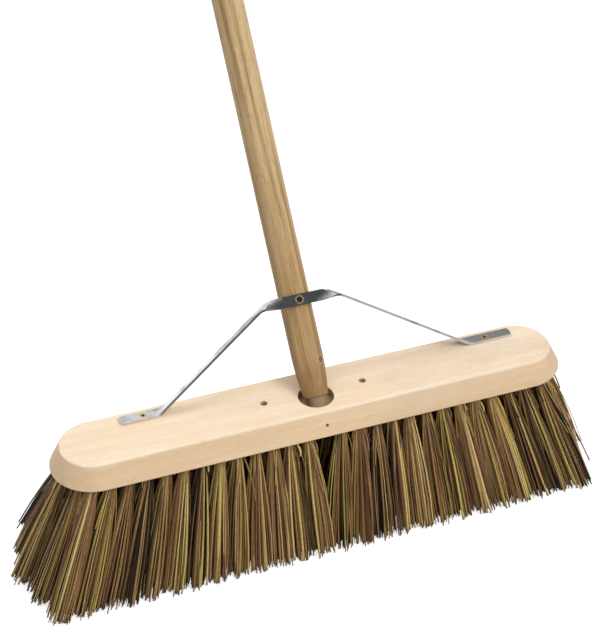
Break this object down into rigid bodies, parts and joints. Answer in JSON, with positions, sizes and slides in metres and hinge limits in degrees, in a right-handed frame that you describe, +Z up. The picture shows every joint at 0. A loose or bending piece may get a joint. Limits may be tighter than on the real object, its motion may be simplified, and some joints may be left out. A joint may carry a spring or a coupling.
{
  "type": "push broom",
  "caption": "Push broom: tapered wooden stock, splayed mixed-fibre tufts, inclined round handle and a bent flat steel stay.",
  "frame": {"origin": "on the stock's top face, midway between the two bracket holes", "axes": "+X along the stock, +Y the way the handle leans, +Z up, away from the bristles"},
  "size_m": [0.5542, 0.9201, 1.1932],
  "materials": {
    "stock": "matte",
    "handle": "satin",
    "stay": "satin",
    "screw": "satin",
    "wire": "satin",
    "fibre": "matte"
  },
  "bodies": {
    "broom": {"anchors_back_inner": "wire", "anchors_back_outer": "wire", "anchors_centre": "wire", "anchors_front_inner": "wire", "anchors_front_outer": "wire", "foot_screws": "screw", "handle": "handle", "handle_nail": "wire", "handle_screw": "screw", "stay": "stay", "stock": "stock", "tufts_back_inner": "fibre", "tufts_back_outer": "fibre", "tufts_centre": "fibre", "tufts_front_inner": "fibre", "tufts_front_outer": "fibre"}
  },
  "joints": []
}
